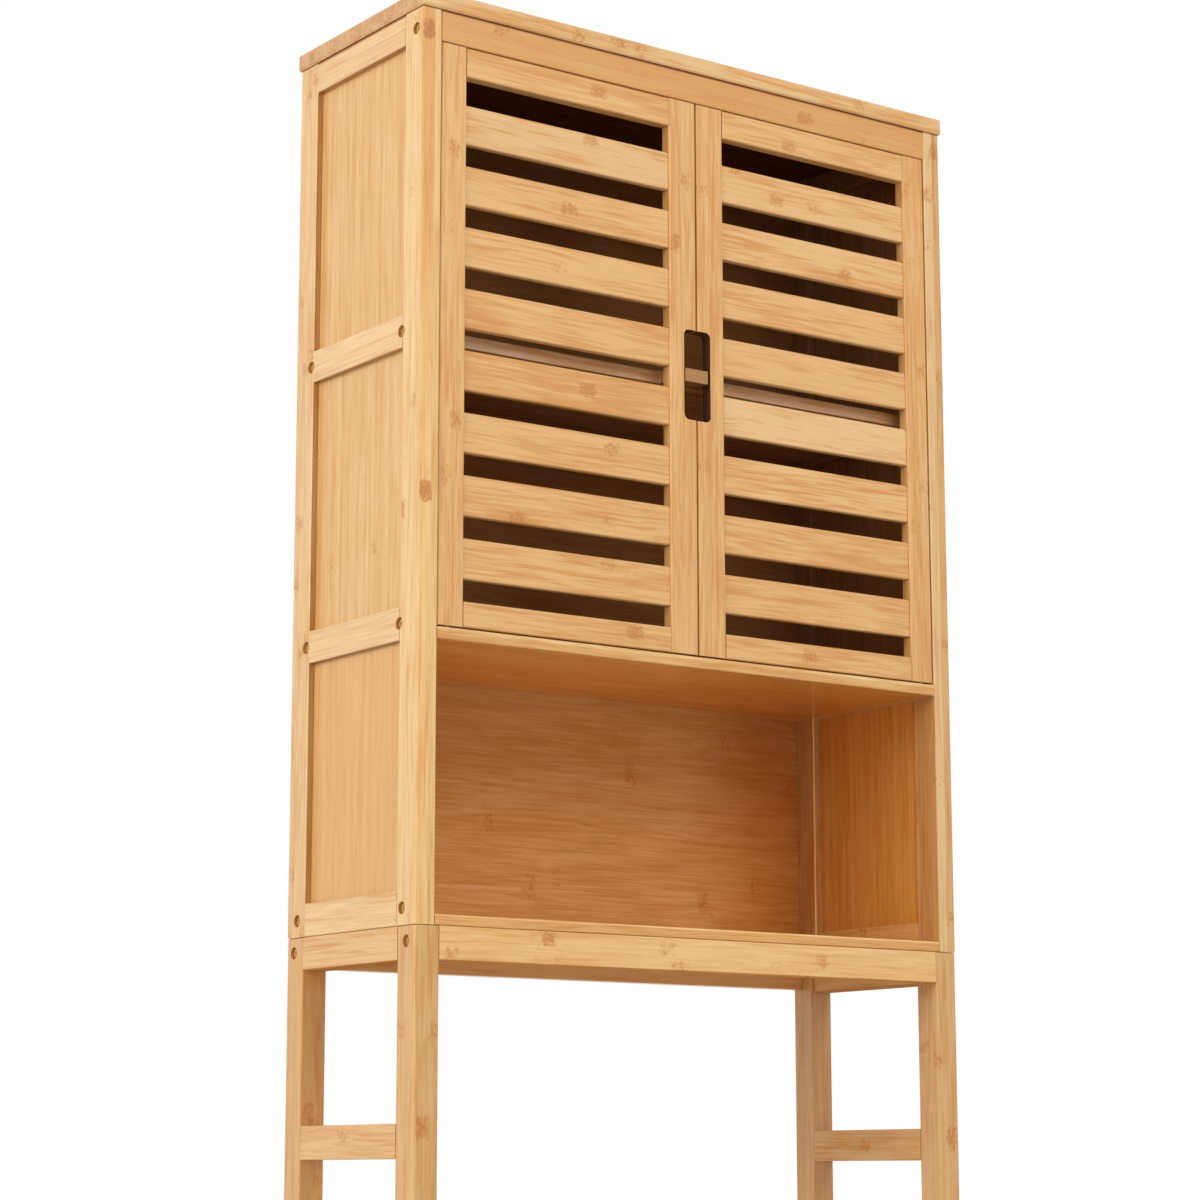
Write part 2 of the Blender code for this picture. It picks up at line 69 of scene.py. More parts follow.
# light and floor
lamps = {  # place, what it looks at, its size in metres, its power and its colour
    "windowSide": ((-3.8, -0.7, 2.2), (0.0, 0.0, 1.1), 2.6, 86, (1.0, 0.985, 0.96)),
    "frontSoft": ((0.45, -3.5, 3.3), (0.0, 0.0, 1.1), 2.6, 66, (1.0, 0.99, 0.97)),
    "backSoft": ((2.2, 3.0, 2.6), (0.0, 0.0, 1.0), 2.4, 40, (1.0, 1.0, 1.0)),
}

room = {
    "ambient": (1.0, 0.99, 0.975),
    "ambientStrength": 0.58,
    "floorSeen": (0.90, 0.895, 0.885),
    "floorBounce": (0.66, 0.64, 0.62),
    "floorRadius": 6,
    "floorSides": 96,
    "clearFrom": 1.3,  # the floor turns white between these distances
    "clearTo": 3.0,
}


def addLamps():
    for name, (place, target, size, power, colour) in lamps.items():
        lamp = bpy.data.lights.new(name, "AREA")
        lamp.shape = "DISK"
        lamp.size = size
        lamp.energy = power
        lamp.color = colour
        holder = bpy.data.objects.new(name, lamp)
        bpy.context.collection.objects.link(holder)
        way = Vector(target) - Vector(place)
        holder.location = place
        holder.rotation_euler = way.to_track_quat("-Z", "Y").to_euler()
        holder.visible_glossy = name != "backSoft"  # no glare on the stretchers' tops


def addNode(tree, kind, values=None, **settings):
    node = tree.nodes.new(kind)
    for name, value in settings.items():
        setattr(node, name, value)
    for socket, value in (values or {}).items():
        feed(tree, node.inputs[socket], value)
    return node


def feed(tree, socket, value):
    if isinstance(value, bpy.types.NodeSocket):
        tree.links.new(value, socket)
    else:
        socket.default_value = value


def calc(tree, operation, first, second=0.5, clamp=False):
    values = {0: first, 1: second}
    return addNode(tree, "ShaderNodeMath", values, operation=operation, use_clamp=clamp).outputs[0]


def calcVector(tree, operation, first, second=(0, 0, 0)):
    node = addNode(tree, "ShaderNodeVectorMath", {0: first, 1: second}, operation=operation)
    return node.outputs["Value" if operation == "LENGTH" else "Vector"]


def fade(tree, value, low, high, start=0.0, end=1.0):
    values = {"Value": value, "From Min": low, "From Max": high, "To Min": start, "To Max": end}
    node = addNode(tree, "ShaderNodeMapRange", values, interpolation_type="SMOOTHSTEP")
    return node.outputs["Result"]


def tint(tree, amount, first, second, blend="MIX"):
    values = {0: amount, 6: first, 7: second}  # 6, 7 and the output 2 are the mix node's colours
    node = addNode(tree, "ShaderNodeMix", values, data_type="RGBA", blend_type=blend)
    return node.outputs[2]


def noise(tree, vector, scale, detail=2.0, roughness=0.5):
    values = {"Vector": vector, "Scale": scale, "Detail": detail, "Roughness": roughness}
    return addNode(tree, "ShaderNodeTexNoise", values).outputs["Fac"]


def separate(tree, vector):
    return addNode(tree, "ShaderNodeSeparateXYZ", {0: vector}).outputs


def mixShaders(tree, amount, first, second):
    values = {0: amount, 1: first.outputs[0], 2: second.outputs[0]}
    return addNode(tree, "ShaderNodeMixShader", values)


def surroundingsSeen(tree):
    # 1 on the rays that show the surroundings: camera, mirror and glass rays
    path = addNode(tree, "ShaderNodeLightPath").outputs
    seen = calc(tree, "MAXIMUM", path["Is Camera Ray"], path["Is Glossy Ray"])
    return calc(tree, "MAXIMUM", seen, path["Is Transmission Ray"])


def lightRoom():
    world = bpy.data.worlds.new("room")
    bpy.context.scene.world = world
    world.use_nodes = True
    tree = world.node_tree
    tree.nodes.clear()
    ambient = {"Color": (*room["ambient"], 1), "Strength": room["ambientStrength"]}
    soft = addNode(tree, "ShaderNodeBackground", ambient)
    white = addNode(tree, "ShaderNodeBackground", {"Color": (1, 1, 1, 1)})
    shown = mixShaders(tree, surroundingsSeen(tree), soft, white)
    addNode(tree, "ShaderNodeOutputWorld", {"Surface": shown.outputs[0]})


def floorMaterial():
    material = bpy.data.materials.new("paleFloor")
    material.use_nodes = True
    tree = material.node_tree
    tree.nodes.clear()
    seen = addNode(tree, "ShaderNodeBsdfDiffuse", {"Color": (*room["floorSeen"], 1)})
    bounce = addNode(tree, "ShaderNodeBsdfDiffuse", {"Color": (*room["floorBounce"], 1)})
    white = addNode(tree, "ShaderNodeEmission")
    place = addNode(tree, "ShaderNodeTexCoord").outputs["Object"]
    away = fade(tree, calcVector(tree, "LENGTH", place), room["clearFrom"], room["clearTo"])
    clear = mixShaders(tree, away, seen, white)
    shown = mixShaders(tree, surroundingsSeen(tree), bounce, clear)
    addNode(tree, "ShaderNodeOutputMaterial", {"Surface": shown.outputs[0]})
    return material


def addFloor():
    bpy.ops.object.select_all(action="DESELECT")
    bpy.ops.mesh.primitive_circle_add(
        vertices=room["floorSides"],
        radius=room["floorRadius"],
        fill_type="NGON",
        location=(0, 0, 0),
    )
    floor = bpy.context.object
    floor.name = "floor"
    floor.data.materials.append(floorMaterial())


bpy.context.scene.view_settings.view_transform = "Standard"
addLamps()
lightRoom()
addFloor()
print("room lit")

# lacquered bamboo, glued up from strips
bamboo = {
    "pale": (0.745, 0.438, 0.172),
    "warm": (0.635, 0.300, 0.080),
    "flame": (0.600, 0.245, 0.040),
    "node": (0.420, 0.135, 0.014),
    "glueWidth": 0.0004,
    "glueShade": (0.880, 0.8272, 0.7744),
    "roughness": 0.40,
    "glossRange": (0.3, 0.7),  # between these values of the fibre's noise
    "glossFibre": (0.05, -0.04),  # this is added to the roughness
    "speckDull": 0.08,
    "underLacquer": 0.30,
    "lacquer": 0.55,
    "lacquerRoughness": 0.12,
    "bump": 0.25,
    "bumpDepth": 0.0002,
    "glueSunk": 0.6,  # against the height of a fibre
    "speckSunk": 0.4,
    "seedStep": 3.7,  # from one stick to the next
    "slide": 2,  # sticks are cut from anywhere in this length
}

# its figure, from fine to broad: the noise's scale, what the scale along the grain is multiplied
# by, which draws it out, and how much it moves the tone
figure = {
    "fibre": {"scale": 620, "along": 0.028, "roughness": 0.60, "reach": 0.42},
    "streak": {"scale": 290, "along": 0.045, "roughness": 0.55, "reach": 0.38},
    "cloud": {"scale": 52, "along": 0.16, "roughness": 0.50, "reach": 0.34},
    "usual": (0.25, 0.75),  # a noise's usual lowest and highest value
    "waver": {"scale": 20, "along": 0.4, "detail": 1.0, "range": (0.2, 0.8), "reach": 0.0018},
    "stripsApart": (3.1, 4.7, 8.3),  # the furthest that two strips' figures are drawn apart
    "tone": 0.25,  # a plain strip's, from pale at 0 to warm at 1
    "cloudShare": 0.7,
    "rich": (0.92, 1.16),  # where streaks and clouds meet, the flame colour comes in
    "richness": 0.38,
}

# the cane's rings: a soft halo with dark specks in it
rings = {
    "halfWidth": 0.014,
    "chance": (0.3, 0.9),  # the higher a strip's draw, the stronger its rings
    "ragged": {"scale": 210, "less": -0.30, "more": 0.14},
    "specks": {"scale": 720, "along": 0.34, "roughness": 0.55},
    "speckLift": 0.16,  # how much a ring brings the specks out
    "speckEdge": (0.52, 0.66),
    "speckRing": (0.12, 0.45),  # the ring's strength at which they begin and are full
    "speckTint": 0.50,
    "haloRing": 0.9,
    "haloTint": 0.56,
}


def groupSockets(tree):
    face = tree.interface
    face.new_socket("Vector", in_out="INPUT", socket_type="NodeSocketVector")
    numbers = (
        "Strip X",
        "Strip Y",
        "Seed",
        "Warmth",
        "Contrast",
        "Streaks",
        "Node Spacing",
        "Node Strength",
        "Marks",
    )
    for name in numbers:
        face.new_socket(name, in_out="INPUT", socket_type="NodeSocketFloat")
    for name in ("Pale", "Warm", "Flame", "Node"):
        face.new_socket(name, in_out="INPUT", socket_type="NodeSocketColor")
    face.new_socket("Color", in_out="OUTPUT", socket_type="NodeSocketColor")
    face.new_socket("Roughness", in_out="OUTPUT", socket_type="NodeSocketFloat")
    face.new_socket("Height", in_out="OUTPUT", socket_type="NodeSocketFloat")


def glueLine(tree, across, width):
    # 1 in the thin line between two strips
    fromMiddle = calc(tree, "ABSOLUTE", calc(tree, "SUBTRACT", calc(tree, "FRACT", across), 0.5))
    toEdge = calc(tree, "MULTIPLY", calc(tree, "SUBTRACT", 0.5, fromMiddle), width)
    return fade(tree, toEdge, 0.0, bamboo["glueWidth"], 1.0, 0.0)


def drawnNoise(tree, vector, layer):
    drawn = calcVector(tree, "MULTIPLY", vector, (1, 1, layer["along"]))
    return noise(
        tree, drawn, layer["scale"], layer.get("detail", 2.0), layer.get("roughness", 0.5)
    )


def waverSideways(tree, vector):
    waver = figure["waver"]
    slow = drawnNoise(tree, vector, waver)
    sideways = fade(tree, slow, *waver["range"], -waver["reach"], waver["reach"])
    sideways = addNode(tree, "ShaderNodeCombineXYZ", {0: sideways, 1: sideways}).outputs[0]
    return calcVector(tree, "ADD", vector, sideways)


def caneRings(tree, given, along, picks):
    # some at even distances and some where the marks are; each strip has its own
    spacing = given["Node Spacing"]
    along = calc(tree, "ADD", along, calc(tree, "MULTIPLY", picks[0], spacing))
    part = calc(tree, "FRACT", calc(tree, "DIVIDE", along, spacing))
    fromRing = calc(tree, "ABSOLUTE", calc(tree, "SUBTRACT", part, 0.5))
    fromRing = calc(tree, "MULTIPLY", fromRing, spacing)
    ring = fade(tree, fromRing, 0.0, rings["halfWidth"], 1.0, 0.0)
    ring = calc(tree, "MULTIPLY", ring, fade(tree, picks[1], *rings["chance"]))
    ring = calc(tree, "MULTIPLY", ring, given["Node Strength"])
    ring = calc(tree, "MAXIMUM", ring, given["Marks"])
    ragged = rings["ragged"]
    edge = noise(tree, given["Vector"], ragged["scale"])
    edge = fade(tree, edge, *figure["usual"], ragged["less"], ragged["more"])
    return calc(tree, "ADD", ring, edge)


def ringSpecks(tree, vector, ring):
    speck = drawnNoise(tree, vector, rings["specks"])
    speck = calc(tree, "ADD", speck, calc(tree, "MULTIPLY", ring, rings["speckLift"]))
    speck = fade(tree, speck, *rings["speckEdge"])
    return calc(tree, "MULTIPLY", speck, fade(tree, ring, *rings["speckRing"]))


def bambooGroup():
    # the grain runs along the vector's Z
    tree = bpy.data.node_groups.new("bambooLaminate", "ShaderNodeTree")
    groupSockets(tree)
    given = addNode(tree, "NodeGroupInput").outputs
    split = separate(tree, given["Vector"])

    # which strip a point is in, and that strip's random numbers
    acrossX = calc(tree, "DIVIDE", split[0], given["Strip X"])
    acrossY = calc(tree, "DIVIDE", split[1], given["Strip Y"])
    stripX = calc(tree, "FLOOR", acrossX)
    stripY = calc(tree, "FLOOR", acrossY)
    strip = addNode(tree, "ShaderNodeCombineXYZ", {0: stripX, 1: stripY, 2: given["Seed"]})
    chance = addNode(tree, "ShaderNodeTexWhiteNoise", {"Vector": strip.outputs[0]})
    chance = chance.outputs["Color"]
    picks = addNode(tree, "ShaderNodeSeparateColor", {0: chance}).outputs
    glueX = glueLine(tree, acrossX, given["Strip X"])
    glueY = glueLine(tree, acrossY, given["Strip Y"])
    glue = calc(tree, "MAXIMUM", glueX, glueY)

    # streaks that waver and are different in each strip
    apart = calcVector(tree, "MULTIPLY", chance, figure["stripsApart"])
    bent = waverSideways(tree, calcVector(tree, "ADD", given["Vector"], apart))
    layers = {name: drawnNoise(tree, bent, figure[name]) for name in ("fibre", "streak", "cloud")}
    ring = caneRings(tree, given, split[2], picks)
    speck = ringSpecks(tree, given["Vector"], ring)
    halo = fade(tree, ring, 0.0, rings["haloRing"], 0.0, rings["haloTint"])

    # colour
    tone = calc(tree, "MULTIPLY", picks[2], given["Contrast"])
    tone = calc(tree, "ADD", tone, given["Warmth"])
    for name, layer in layers.items():
        reach = figure[name]["reach"]
        swing = fade(tree, layer, *figure["usual"], -reach, reach)
        tone = calc(tree, "ADD", tone, calc(tree, "MULTIPLY", swing, given["Streaks"]))
    tone = calc(tree, "ADD", tone, figure["tone"], clamp=True)
    colour = tint(tree, tone, given["Pale"], given["Warm"])
    rich = calc(tree, "MULTIPLY", layers["cloud"], figure["cloudShare"])
    rich = calc(tree, "ADD", layers["streak"], rich)
    rich = fade(tree, rich, *figure["rich"], 0.0, figure["richness"])
    rich = calc(tree, "MULTIPLY", rich, given["Streaks"])
    colour = tint(tree, rich, colour, given["Flame"])
    colour = tint(tree, halo, colour, given["Flame"])
    speckTint = calc(tree, "MULTIPLY", speck, rings["speckTint"])
    colour = tint(tree, speckTint, colour, given["Node"])
    glued = tint(tree, 1.0, colour, (*bamboo["glueShade"], 1), "MULTIPLY")
    colour = tint(tree, glue, colour, glued)

    # gloss and relief
    low, high = (bamboo["roughness"] + more for more in bamboo["glossFibre"])
    rough = fade(tree, layers["fibre"], *bamboo["glossRange"], low, high)
    rough = calc(tree, "ADD", rough, calc(tree, "MULTIPLY", speck, bamboo["speckDull"]))
    height = calc(tree, "MULTIPLY", glue, bamboo["glueSunk"])
    height = calc(tree, "SUBTRACT", layers["fibre"], height)
    height = calc(tree, "SUBTRACT", height, calc(tree, "MULTIPLY", speck, bamboo["speckSunk"]))
    addNode(tree, "NodeGroupOutput", {"Color": colour, "Roughness": rough, "Height": height})
    return tree


# how each kind of stick is cut: where its grain runs, the width of its strips and how far the
# first glue line lies from its lowest corner, both across the grain
cuts = {
    "stile": {
        "grain": "z",
        "strip": (0.0125, 0.0104),
        "first": (0.0100, 0.0090),
        "nodes": 0.55,
        "pale": (0.745, 0.490, 0.230),
        "warm": (0.640, 0.350, 0.120),
    },
    "sideRail": {
        "grain": "y",
        "strip": (0.0150, 0.0165),
        "first": (0.0110, 0.0140),
        "nodes": 0.4,
        "pale": (0.790, 0.525, 0.262),
        "warm": (0.680, 0.400, 0.160),
    },
    "panel": {
        "grain": "z",
        "strip": (0.0100, 0.0042),
        "first": (0.0050, 0.0020),
        "contrast": 0.50,
        "streaks": 0.82,
        "nodes": 0.25,
        "mark": (0.007, 0.012),
        "pale": (0.745, 0.465, 0.198),
        "warm": (0.650, 0.345, 0.105),
    },
    "frontRail": {
        "grain": "x",
        "strip": (0.0290, 0.0150),
        "first": (0.0160, 0.0090),
        "warmth": 0.15,
    },
    "back": {
        "grain": "x",
        "strip": (0.0190, 0.0200),
        "first": (0.0080, 0.0100),
        "warmth": 0.25,
        "contrast": 0.20,
        "streaks": 0.80,
        "nodes": 0.30,
        "spacing": 0.33,
        "mark": (0.018, 0.010),
        "pale": (0.790, 0.465, 0.202),
        "warm": (0.655, 0.325, 0.097),
    },
    "board": {"grain": "x", "strip": (0.0300, 0.0180), "first": (0.0200, 0.0090), "warmth": 0.15},
    "top": {
        "grain": "x",
        "strip": (0.0300, 0.0190),
        "first": (0.0200, 0.0110),
        "pale": (0.745, 0.480, 0.215),
    },
    "doorStile": {"grain": "z", "strip": (0.0155, 0.0200), "first": (0.0140, 0.0140), "nodes": 0.4},
    "doorRail": {"grain": "x", "strip": (0.0400, 0.0200), "first": (0.0300, 0.0140), "nodes": 0.4},
    "slat": {
        "grain": "x",
        "strip": (0.0500, 0.0200),
        "first": (0.0450, 0.0140),
        "streaks": 1.10,
        "nodes": 0.2,
    },
    "leg": {
        "grain": "z",
        "strip": (0.0135, 0.0150),
        "first": (0.0130, 0.0130),
        "pale": (0.690, 0.405, 0.162),
        "warm": (0.580, 0.285, 0.080),
    },
    "baseRail": {
        "grain": "x",
        "strip": (0.0300, 0.0200),
        "first": (0.0290, 0.0120),
        "pale": (0.860, 0.555, 0.245),
        "warm": (0.740, 0.400, 0.125),
        "streaks": 0.62,
    },
    "baseSideRail": {
        "grain": "y",
        "strip": (0.0200, 0.0320),
        "first": (0.0150, 0.0310),
        "nodes": 0.12,
        "pale": (0.740, 0.450, 0.190),
        "warm": (0.625, 0.310, 0.090),
    },
}

kinds = (  # part of a stick's name and the cut it has: the first that fits counts
    ("back_panel", "back"),
    ("door_hinge_stile", "doorStile"),
    ("door_meeting_stile", "doorStile"),
    ("door_top_rail", "doorRail"),
    ("door_bottom_rail", "doorRail"),
    ("_slat_", "slat"),
    ("_stile", "stile"),
    ("_leg", "leg"),
    ("stretcher", "baseSideRail"),
    ("base_left_rail", "baseSideRail"),
    ("base_right_rail", "baseSideRail"),
    ("base_front_rail", "baseRail"),
    ("base_rear_rail", "baseRail"),
    ("front_top_rail", "frontRail"),
    ("_panel", "panel"),
    ("top_board", "top"),
    ("middle_shelf", "board"),
    ("cabinet_floor", "board"),
    ("bottom_shelf", "board"),
    ("_rail", "sideRail"),
)

# sticks that were picked apart from their kind
picked = {
    # paler than the other stiles, partly painted sheen for its brightly lit left side
    "left_front_stile": {
        "first": (0.0125, 0.0090),
        "nodes": 0.15,
        "flame": (0.600, 0.235, 0.020),
        "pale": (0.890, 0.648, 0.328),
        "warm": (0.800, 0.500, 0.195),
    },
    "right_front_stile": {"first": (0.0110, 0.0090), "warmth": -0.20},
    "front_top_rail": {"pale": (0.660, 0.355, 0.108), "warmth": 0.20},
    "left_lower_panel": {"pale": (0.705, 0.405, 0.148)},
    "right_stretcher": {"pale": (0.660, 0.410, 0.205), "warm": (0.550, 0.285, 0.100)},
    # the rear legs' colours are darker, painted shade
    "left_rear_leg": {"pale": (0.660, 0.380, 0.150), "warm": (0.555, 0.265, 0.073)},
    "right_rear_leg": {"pale": (0.655, 0.370, 0.145), "warm": (0.550, 0.260, 0.070)},
    "left_door_slat_1": {"warmth": -0.22, "pale": (0.745, 0.455, 0.195)},
    "left_door_slat_2": {"warmth": -0.08},
    "left_door_slat_4": {"warmth": 0.18},
    "left_door_slat_5": {"warmth": 0.50},
    "left_door_slat_7": {"warmth": 0.18},
    "right_door_slat_1": {"warmth": -0.15, "pale": (0.750, 0.450, 0.190)},
    "right_door_slat_2": {"warmth": -0.20, "pale": (0.760, 0.460, 0.195)},
    "right_door_slat_5": {"warmth": -0.28, "pale": (0.780, 0.490, 0.225)},
    "right_door_slat_6": {"warmth": -0.18, "pale": (0.780, 0.470, 0.200)},
    "right_door_slat_7": {"warmth": -0.08},
}

# strips, edges and ends that are darker or paler, some for the strips' own tone and many as painted
# shade
# and painted highlights: the part of a stick that is within these distances of its sides, the
# shade, and for some the axis and the length over which it comes in
patches = {
    "left_front_stile": [
        {"front": 0.0018, "left": 0.0125, "shade": (0.96, 0.86, 0.70)},
        # painted shade: the front's outer strip darker towards the top
        {
            "front": 0.0018,
            "left": 0.0125,
            "top": 0.5082,
            "shade": (0.82, 0.65, 0.42),
            "over": ("z", 0.50),
        },
        {"front": 0.0018, "right": 0.0075, "shade": (0.89, 0.81, 0.66)},
    ],
    "right_front_stile": [
        {"front": 0.0018, "right": 0.0095, "shade": (0.90, 0.78, 0.62)},
        # painted shade on its inner face in the cubby
        {"front": 0.028, "left": 0.0005, "bottom": 0.2497, "shade": (0.78, 0.65, 0.52)},
    ],
    "right_rear_stile": [
        # painted shade on its part in the cubby
        {"front": 0.028, "left": 0.010, "bottom": 0.2497, "shade": (0.82, 0.72, 0.58)},
        # painted highlight along its front inner corner
        {"front": 0.0015, "left": 0.0008, "bottom": 0.2497, "shade": (1.60, 2.10, 2.40)},
    ],
    # painted shade on its inner half
    "right_bottom_rail": [{"left": 0.012, "shade": (0.93, 0.82, 0.60)}],
    # painted shadow along its top, under the top board
    "front_top_rail": [{"front": 0.018, "top": 0.0018, "shade": (0.66, 0.49, 0.30)}],
    "back_panel": [
        # painted shade, coming in towards the cubby's right end
        {
            "front": 0.0005,
            "right": 0.178,
            "bottom": 0.2497,
            "shade": (0.78, 0.62, 0.44),
            "over": ("x", 0.14),
        },
    ],
    # painted shade on its inner face
    "right_lower_panel": [{"left": 0.002, "shade": (0.99, 0.83, 0.50)}],
    # painted shade on its front face
    "base_rear_rail": [{"front": 0.0025, "shade": (0.86, 0.78, 0.76)}],
    # painted shade on the rear legs' front faces
    "left_rear_leg": [{"front": 0.0008, "shade": (0.98, 0.85, 0.62)}],
    "right_rear_leg": [{"front": 0.0008, "shade": (0.95, 0.87, 0.78)}],
    "top_board": [
        # painted shade on its underside
        {"bottom": 0.0002, "shade": (0.52, 0.39, 0.26)},
        {"left": 0.0006, "shade": (0.82, 0.76, 0.72)},
    ],
    "middle_shelf": [  # its front edge and its underside behind that paler for painted light, and its tab's end darker for painted shade
        {"front": 0.026, "rear": 0.1872, "shade": (1.28, 1.38, 2.00)},
        {"rear": 0.1837, "bottom": 0.00045, "shade": (1.60, 2.05, 2.80)},
        {"front": 0.0225, "left": 0.315, "right": 0.315, "shade": (0.56, 0.50, 0.42)},
    ],
    "cabinet_floor": [  # its front upper edge paler for a painted highlight, and its underside paler for painted light and darker to the right for painted shade
        {"front": 0.004, "top": 0.0032, "shade": (1.14, 1.35, 1.68)},
        {"rear": 0.2109, "bottom": 0.0007, "shade": (1.20, 1.11, 0.84)},
        {
            "rear": 0.2109,
            "bottom": 0.0007,
            "right": 0.435,
            "shade": (0.84, 0.78, 0.66),
            "over": ("x", 0.32),
        },
    ],
    "bottom_shelf": [
        # painted shade on the lower part of its front edge
        {"front": 0.0015, "bottom": 0.0078, "shade": (0.98, 0.90, 0.76)},
        # painted highlight along its top front edge
        {"front": 0.003, "top": 0.0017, "shade": (1.18, 1.30, 1.35)},
    ],
}

# painted shade round the sunk panels: the faces that look at them are darker
for outer, inner in (("left", "right"), ("right", "left")):
    recess = {outer: 0.0070, inner: 0.0193}
    onStile = {**recess, "front": 0.004, "shade": (0.72, 0.60, 0.48)}
    onRail = {**recess, "bottom": 0.0005, "shade": (0.57, 0.39, 0.21)}
    patches.setdefault(f"{outer}_rear_stile", []).append(onStile)
    for rail in ("top", "upper", "lower"):
        patches[f"{outer}_{rail}_rail"] = [onRail]
    # painted shadow along the top rail's top, under the top board
    patches[f"{outer}_top_rail"].append({"top": 0.0024, "shade": (0.62, 0.44, 0.22)})

# the insides and undersides are hardly lacquered and carry painted shade, the stretchers' inner
# faces a little
# painted light: their shade, and how deep in from the front it comes in full
insides = {
    "doorSpace": {"shade": (0.52, 0.40, 0.35), "deep": 0.012},
    "cubby": {"shade": (0.99, 0.94, 0.90), "deep": 0.015},
    "underBase": {"shade": (0.72, 0.57, 0.43)},
    "betweenStretchers": {"shade": (1.06, 1.00, 0.98)},
}


def insideSpaces():
    # each inside's lowest and highest corners, a little into the sticks round it
    skin = 0.0005
    stileLow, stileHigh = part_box("right_front_stile")
    floorLow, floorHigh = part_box("cabinet_floor")
    barLow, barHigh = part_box("right_stretcher")
    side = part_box("right_lower_panel")[0][0] + skin
    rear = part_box("back_panel")[0][1] + skin
    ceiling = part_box("top_board")[0][2] + skin
    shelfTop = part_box("bottom_shelf")[1][2] - 0.0013
    behindShelfEdge = stileHigh[1] - 0.0035  # the middle shelf's edge stays clear
    baseSide = stileHigh[0] + 0.002  # past the base, at its sides and in front
    baseFront = stileLow[1] - 0.001
    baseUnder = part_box("base_front_rail")[0][2]
    barFace = barLow[0] + 0.0055  # the stretchers' inner faces
    barEnd = barHigh[1] - 0.0097  # and clear of their tenons
    return {
        "doorSpace": ((-side, behindShelfEdge, floorHigh[2] - skin), (side, rear, ceiling)),
        "cubby": ((-side, stileLow[1] + 0.001, shelfTop), (side, rear, floorLow[2] - 0.001)),
        "underBase": (
            (-baseSide, baseFront, baseUnder - 0.001),
            (baseSide, -baseFront, baseUnder + 0.0012),
        ),
        "betweenStretchers": (
            (-barFace, -barEnd, barLow[2] - 0.002),
            (barFace, barEnd, barHigh[2] + 0.002),
        ),
    }


spaces = insideSpaces()

# the larger node marks, on a stick's front: how far across and up, the strength, and for some how
# far in front of the face the middle lies
frontMarks = {
    "front_top_rail": ((-0.225, 1.623, 0.6), (0.135, 1.611, 1.0), (0.206, 1.602, 0.4)),
    "top_board": ((-0.1385, 1.636, 0.6), (-0.0945, 1.6395, 0.6)),
    "left_front_stile": (
        (-0.3035, 1.6075, 2.4, 0.0065),
        (-0.3035, 1.1805, 2.9, 0.0065),
    ),
    "right_front_stile": ((0.3045, 1.609, 0.9), (0.294, 1.5625, 0.6)),
    "left_door_hinge_stile": (
        (-0.2745, 1.4995, 0.7),
        (-0.279, 1.4275, 0.3),
        (-0.271, 1.2495, 0.7),
        (-0.2815, 1.1975, 0.5),
    ),
    "left_door_top_rail": ((-0.114, 1.587, 0.9),),
    "left_door_slat_1": ((-0.1215, 1.539, 0.7),),
    "left_door_slat_2": ((-0.1465, 1.467, 0.8),),
    "left_door_slat_3": ((-0.158, 1.4095, 0.4),),
    "left_door_slat_5": ((-0.125, 1.298, 1.0),),
    "left_door_slat_6": ((-0.099, 1.246, 0.6),),
    "left_door_slat_7": ((-0.2025, 1.1675, 0.9), (-0.1015, 1.177, 0.4)),
    "left_door_slat_8": ((-0.1025, 1.1365, 0.6),),
    "left_door_meeting_stile": ((-0.0135, 1.519, 0.6), (-0.0255, 1.4565, 0.9)),
    "left_door_bottom_rail": ((-0.074, 1.0765, 1.0),),
    "right_door_top_rail": ((0.115, 1.5785, 0.8),),
    "right_door_slat_1": (
        (0.0495, 1.5435, 0.6),
        (0.100, 1.5215, 0.8),
        (0.1455, 1.523, 0.5),
    ),
    "right_door_slat_2": ((0.1855, 1.4605, 0.8),),
    "right_door_hinge_stile": ((0.282, 1.3765, 0.6), (0.2665, 1.563, 0.5)),
    "right_door_bottom_rail": ((0.133, 1.074, 0.8),),
    "base_front_rail": (
        (-0.170, 0.793, 0.9),
        (-0.272, 0.777, 0.45),
        (-0.155, 0.777, 0.3),
        (-0.040, 0.7905, 0.52),
        (-0.0255, 0.7755, 0.45),
        (0.1405, 0.785, 0.75),
        (0.121, 0.771, 0.38),
    ),
    "left_front_leg": ((-0.300, 0.628, 1.0), (-0.2885, 0.709, 0.5)),
    "left_rear_leg": ((-0.302, 0.6435, 0.8),),
    "right_front_leg": ((0.286, 0.6965, 0.6), (0.3005, 0.624, 0.9)),
    "right_rear_leg": ((0.275, 0.6465, 0.5),),
    "back_panel": (
        (0.075, 0.9785, 0.52),
        (0.091, 0.9375, 0.26),
        (0.195, 1.020, 0.42),
        (0.1655, 0.856, 0.52),
        (-0.045, 0.860, 0.42),
        (-0.094, 0.9225, 0.42),
        (0.0345, 0.875, 0.26),
        (0.232, 0.8795, 0.37),
        (0.2765, 0.9775, 0.47),
        (0.0565, 1.015, 0.26),
        (-0.100, 1.009, 0.21),
    ),
}

# and on the side that faces left: how far back and up, and the strength
leftMarks = {
    "top_board": ((0.0855, 1.6335, 0.6),),
    "left_front_stile": ((-0.0915, 1.4565, 0.3), (-0.095, 1.262, 0.5), (-0.080, 1.1675, 0.6)),
    "left_rear_stile": ((0.0995, 1.184, 0.6),),
    "left_middle_panel": ((-0.0235, 1.1435, 0.5), (0.0515, 1.142, 0.4)),
    "left_stretcher": ((0.0075, 0.6225, 0.5),),
    "right_stretcher": ((0.003, 0.6175, 0.6),),
}

